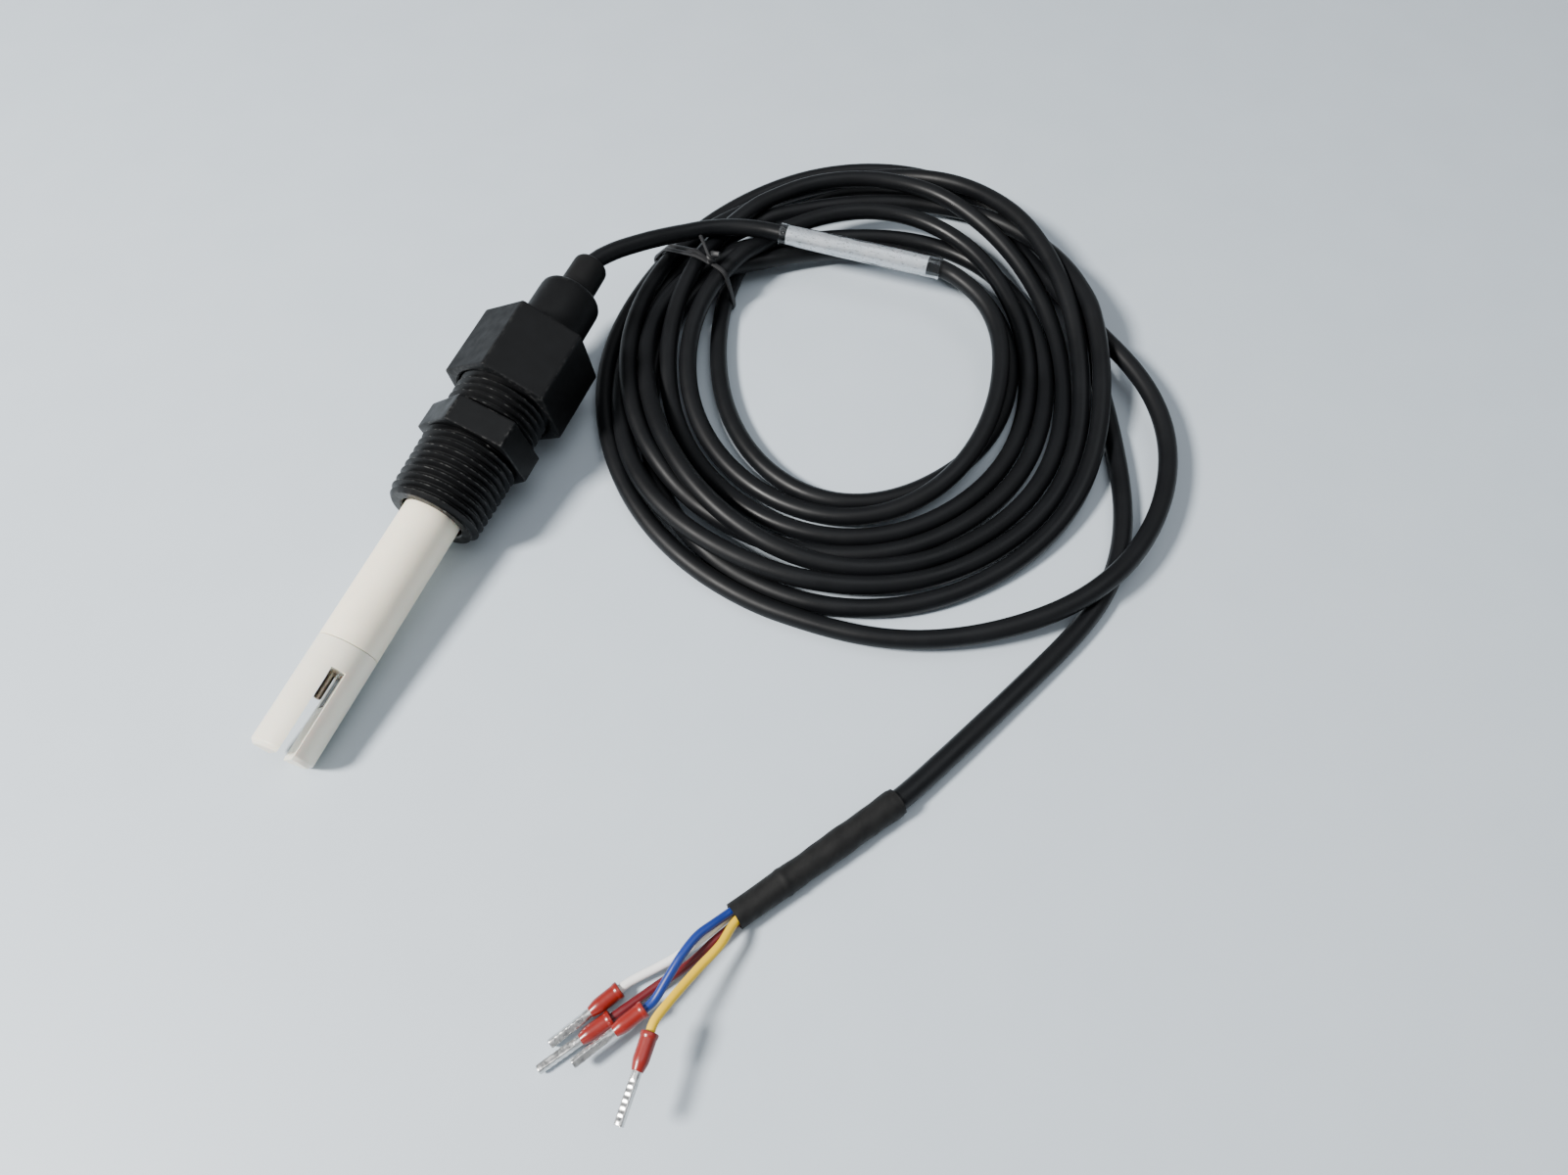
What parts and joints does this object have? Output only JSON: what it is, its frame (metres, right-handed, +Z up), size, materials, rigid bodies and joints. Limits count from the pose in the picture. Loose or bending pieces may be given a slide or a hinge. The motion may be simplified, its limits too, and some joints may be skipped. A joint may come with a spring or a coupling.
{
  "type": "soil conductivity probe",
  "caption": "Fork-ended white sensing probe with a threaded black bushing and hex cap, strain relief, tied coil of cable and ferruled lead wires.",
  "frame": {"origin": "Standing surface, below the centre of the probe body; the cable and what is on it are left out of that centre.", "axes": "+X along the probe in plan, from the fork towards the cable; +Z up; +Y to the left of the probe"},
  "size_m": [0.2388, 0.1564, 0.0295],
  "materials": {
    "tube_white_plastic": "satin white moulded tube",
    "head_white_plastic": "satin off-white, slightly warmer than the tube",
    "graphite": "dark matt graphite compound",
    "pin_steel": "fine brushed stainless",
    "black_moulded_plastic": "satin black glass-filled moulding",
    "black_cap_plastic": "satin black moulding",
    "seal_rubber": "matt black",
    "relief_rubber": "satin black",
    "potting_resin": "set resin",
    "cable_jacket": "satin-gloss black PVC",
    "clear_sleeve": "clear shrunk sleeve",
    "label_paper": "plain white paper",
    "heat_shrink": "matt black polyolefin",
    "twist_tie": "plastic-coated wire",
    "wire_white": "PVC insulation",
    "wire_red": "dark red PVC insulation",
    "wire_blue": "PVC insulation",
    "wire_yellow": "PVC insulation",
    "ferrule_red": "moulded nylon collar",
    "ferrule_tin": "crimped tin-plated copper"
  },
  "bodies": {
    "probe": {"probe_tube": "tube_white_plastic", "cell_head": "head_white_plastic", "electrode_left": "graphite", "electrode_right": "graphite", "temperature_pin": "pin_steel", "inner_lead_1": "ferrule_tin", "inner_lead_2": "ferrule_tin", "inner_lead_3": "ferrule_tin", "inner_lead_4": "ferrule_tin", "potting_plug": "potting_resin", "cap_gasket": "seal_rubber", "tube_collar": "head_white_plastic", "hex_cap": "black_cap_plastic", "cable_boss": "black_cap_plastic", "strain_relief": "relief_rubber", "cable_exit": "cable_jacket", "label_paper": "label_paper", "label_sleeve": "clear_sleeve", "cable_coil": "cable_jacket", "cable_outer_loop": "cable_jacket", "cable_tail": "cable_jacket", "twist_tie": "twist_tie", "heat_shrink": "heat_shrink", "wire_white": "wire_white", "ferrule_sleeve_white": "ferrule_red", "ferrule_pin_white": "ferrule_tin", "wire_red": "wire_red", "ferrule_sleeve_red": "ferrule_red", "ferrule_pin_red": "ferrule_tin", "wire_blue": "wire_blue", "ferrule_sleeve_blue": "ferrule_red", "ferrule_pin_blue": "ferrule_tin", "wire_yellow": "wire_yellow", "ferrule_sleeve_yellow": "ferrule_red", "ferrule_pin_yellow": "ferrule_tin"},
    "bushing_seal": {"bushing_seal": "seal_rubber"},
    "threaded_bushing": {"threaded_bushing": "black_moulded_plastic"}
  },
  "joints": [
    {"name": "seal_travel", "type": "slide", "parent": "probe", "child": "bushing_seal", "axis": [-0.9958, 0, -0.0919], "range_m": [0, 0.0023]},
    {"name": "bushing_turn", "type": "hinge", "parent": "bushing_seal", "child": "threaded_bushing", "pos_m": [-0.00013, 0, 0.01193], "axis": [-0.9958, 0, -0.0919], "range_deg": [0, 450]}
  ],
  "couplings": [
    {"joint": "seal_travel", "follows": "bushing_turn", "m_per_rad": 0.00028871}
  ]
}
